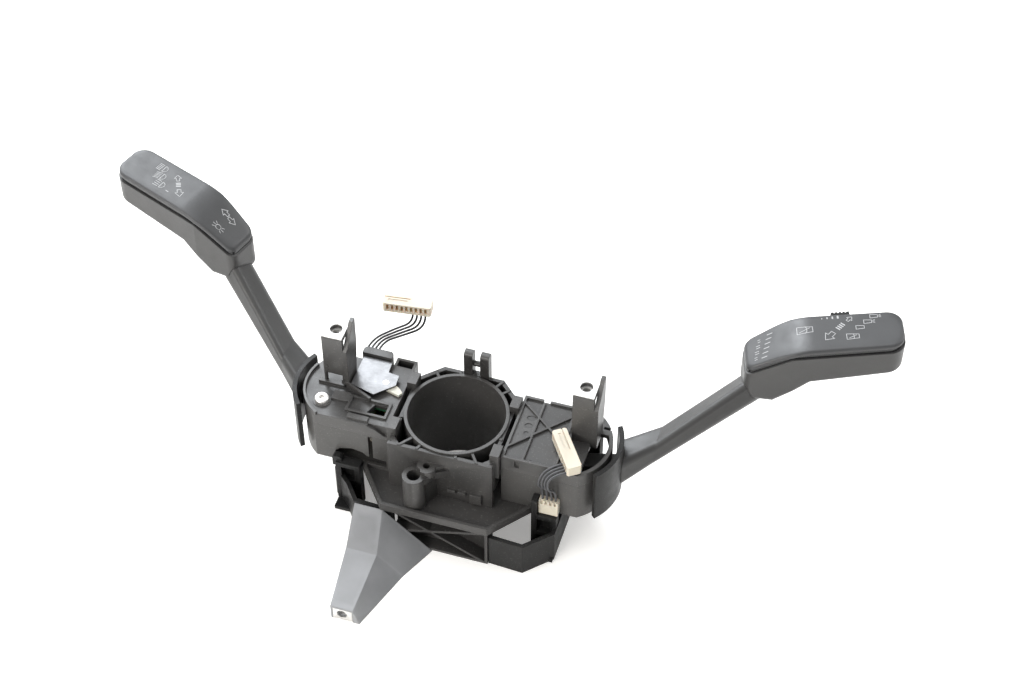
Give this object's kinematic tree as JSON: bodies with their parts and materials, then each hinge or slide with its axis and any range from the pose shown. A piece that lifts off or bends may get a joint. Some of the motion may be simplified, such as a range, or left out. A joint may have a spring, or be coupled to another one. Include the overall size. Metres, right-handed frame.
{
  "type": "combination stalk switch",
  "caption": "Steering column switch block with a column sleeve, a turn-signal stalk and a wiper stalk, on a bracket with a foot leg and screw posts.",
  "frame": {"origin": "centre of the column bore at its front rim", "axes": "+Z along the column bore towards the driver, +Y up in the vehicle, +X to the wiper stalk"},
  "size_m": [0.418, 0.181, 0.1136],
  "materials": {
    "moulded_black": "fine moulded grain",
    "bracket_grey": "glass-filled, satin",
    "cover_black": "satin",
    "stalk_grey": "fine grain",
    "fascia_grey": "smooth satin",
    "gloss_black": "polished",
    "zinc_steel": "zinc plated",
    "plate_grey": "satin",
    "spring_steel": "bright",
    "brass": "bright",
    "tinned": "tinned",
    "white_nylon": "smooth",
    "wire_black": "smooth",
    "wire_grey": "smooth",
    "natural_nylon": "translucent",
    "board_green": "solder mask"
  },
  "bodies": {
    "column_switch": {"cancel_cover_plate": "plate_grey", "cancel_pin": "spring_steel", "carrier_housing": "moulded_black", "cover_screw": "zinc_steel", "cradle_frame": "moulded_black", "foot_leg": "bracket_grey", "left_circuit_board": "board_green", "left_connector": "white_nylon", "left_detent_track": "natural_nylon", "left_switch_cover": "cover_black", "left_switch_housing": "moulded_black", "left_terminals": "tinned", "left_wire_1": "wire_black", "left_wire_2": "wire_black", "left_wire_3": "wire_black", "left_wire_4": "wire_black", "left_wire_guide": "moulded_black", "lower_tray": "moulded_black", "right_circuit_board": "board_green", "right_connector": "white_nylon", "right_detent_track": "natural_nylon", "right_switch_cover": "cover_black", "right_switch_housing": "moulded_black", "right_terminals": "tinned", "right_wire_1": "wire_grey", "right_wire_2": "wire_grey", "right_wire_3": "wire_grey", "right_wire_4": "wire_grey", "right_wire_comb": "moulded_black", "trim_clip_nuts": "zinc_steel"},
    "turn_rotor": {"left_fork": "natural_nylon", "left_lever_pin": "spring_steel", "left_detent_spring": "spring_steel", "left_contact_brush": "brass"},
    "turn_stalk": {"left_stalk_arm": "stalk_grey", "left_dust_shield": "moulded_black", "left_stalk_shell": "stalk_grey", "left_stalk_band": "gloss_black", "left_stalk_fascia": "fascia_grey"},
    "turn_detent": {"left_detent_plunger": "spring_steel"},
    "wipe_rotor": {"right_fork": "natural_nylon", "right_lever_pin": "spring_steel", "right_detent_spring": "spring_steel", "right_contact_brush": "brass"},
    "wipe_stalk": {"right_stalk_arm": "stalk_grey", "right_dust_shield": "moulded_black", "right_stalk_shell": "stalk_grey", "right_stalk_band": "gloss_black", "right_stalk_fascia": "fascia_grey"},
    "wipe_detent": {"right_detent_plunger": "spring_steel"},
    "interval_slider": {"interval_slider": "moulded_black"},
    "cancel_pawl": {"cancel_pawl": "natural_nylon"}
  },
  "joints": [
    {"name": "left_turn_signal", "type": "hinge", "parent": "column_switch", "child": "turn_rotor", "pos_m": [-0.056, 0, -0.018], "axis": [0, 0, 1], "range_deg": [-11, 11]},
    {"name": "left_beam", "type": "hinge", "parent": "turn_rotor", "child": "turn_stalk", "pos_m": [-0.056, 0, -0.018], "axis": [0, 1, 0], "range_deg": [-5, 5], "stiffness_Nm_per_rad": 4},
    {"name": "right_wipe", "type": "hinge", "parent": "column_switch", "child": "wipe_rotor", "pos_m": [0.056, 0, -0.018], "axis": [0, 0, 1], "range_deg": [-6, 17]},
    {"name": "right_wash", "type": "hinge", "parent": "wipe_rotor", "child": "wipe_stalk", "pos_m": [0.056, 0, -0.018], "axis": [0, 1, 0], "range_deg": [-5, 5], "stiffness_Nm_per_rad": 4},
    {"name": "interval_slide", "type": "slide", "parent": "wipe_stalk", "child": "interval_slider", "axis": [0.9509, 0.2907, 0.1062], "range_m": [0, 0.009]},
    {"name": "cancel_pawl_pivot", "type": "hinge", "parent": "column_switch", "child": "cancel_pawl", "pos_m": [-0.04, 0.0065, 0.001], "axis": [0, 0, 1], "range_deg": [-10, 10], "stiffness_Nm_per_rad": 0.01},
    {"name": "left_detent", "type": "slide", "parent": "turn_rotor", "child": "turn_detent", "axis": [0, 0, 1], "range_m": [0, 0.001], "stiffness_N_per_m": 300, "springref_m": -0.002, "deforming": ["left_detent_spring"]},
    {"name": "right_detent", "type": "slide", "parent": "wipe_rotor", "child": "wipe_detent", "axis": [0, 0, 1], "range_m": [0, 0.001], "stiffness_N_per_m": 300, "springref_m": -0.002, "deforming": ["right_detent_spring"]}
  ]
}
